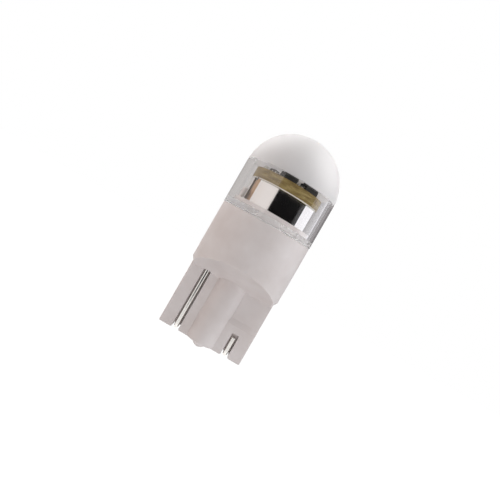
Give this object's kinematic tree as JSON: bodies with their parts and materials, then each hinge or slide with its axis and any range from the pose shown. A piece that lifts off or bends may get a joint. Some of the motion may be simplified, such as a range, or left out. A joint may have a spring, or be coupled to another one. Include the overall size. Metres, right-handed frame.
{
  "type": "wedge base led bulb",
  "caption": "Small signal bulb with a wedge base, folded contact wires and a domed lens cap over a light emitting diode board.",
  "frame": {"origin": "on the bulb's axis, level with the lower face of the wedge blade", "axes": "+Z along the bulb's axis from the blade to the dome, +X along the blade's width, -Y out of the face whose long contact groove is at the left"},
  "size_m": [0.0102, 0.0102, 0.0247],
  "materials": {
    "housing_plastic": "moulded, fine satin",
    "lens_plastic": "clear and glossy round the collar, frosted white over the dome",
    "polished_metal": "turned and polished bright",
    "thermal_pad": "soft, matt",
    "circuit_board": "glass epoxy laminate, cut edge",
    "plated_wire": "nickel plated, drawn",
    "strip_metal": "rolled copper alloy, thinly tinned",
    "solder": "bright solder",
    "led_package": "moulded, matt white",
    "phosphor": "cast silicone with phosphor",
    "chip_plastic": "moulded epoxy, matt black",
    "tinned_lead": "tin plated",
    "resistor_ceramic": "glazed dark top"
  },
  "bodies": {
    "root": {"base_housing": "housing_plastic", "lens_cap": "lens_plastic", "heat_sink": "polished_metal", "thermal_pad": "thermal_pad", "circuit_board": "circuit_board", "contact_wire_left": "plated_wire", "contact_wire_right": "plated_wire", "terminal_strip_left": "strip_metal", "terminal_strip_right": "strip_metal", "solder_joint_left": "solder", "solder_joint_right": "solder", "led_package": "led_package", "led_phosphor": "phosphor", "chip_front_left": "chip_plastic", "chip_front_right": "chip_plastic", "chip_rear_left": "chip_plastic", "chip_rear_right": "chip_plastic", "leads_front_left": "tinned_lead", "leads_front_right": "tinned_lead", "leads_rear_left": "tinned_lead", "leads_rear_right": "tinned_lead", "resistor_front": "resistor_ceramic", "resistor_rear": "resistor_ceramic", "resistor_ends_front": "tinned_lead", "resistor_ends_rear": "tinned_lead"}
  },
  "joints": []
}
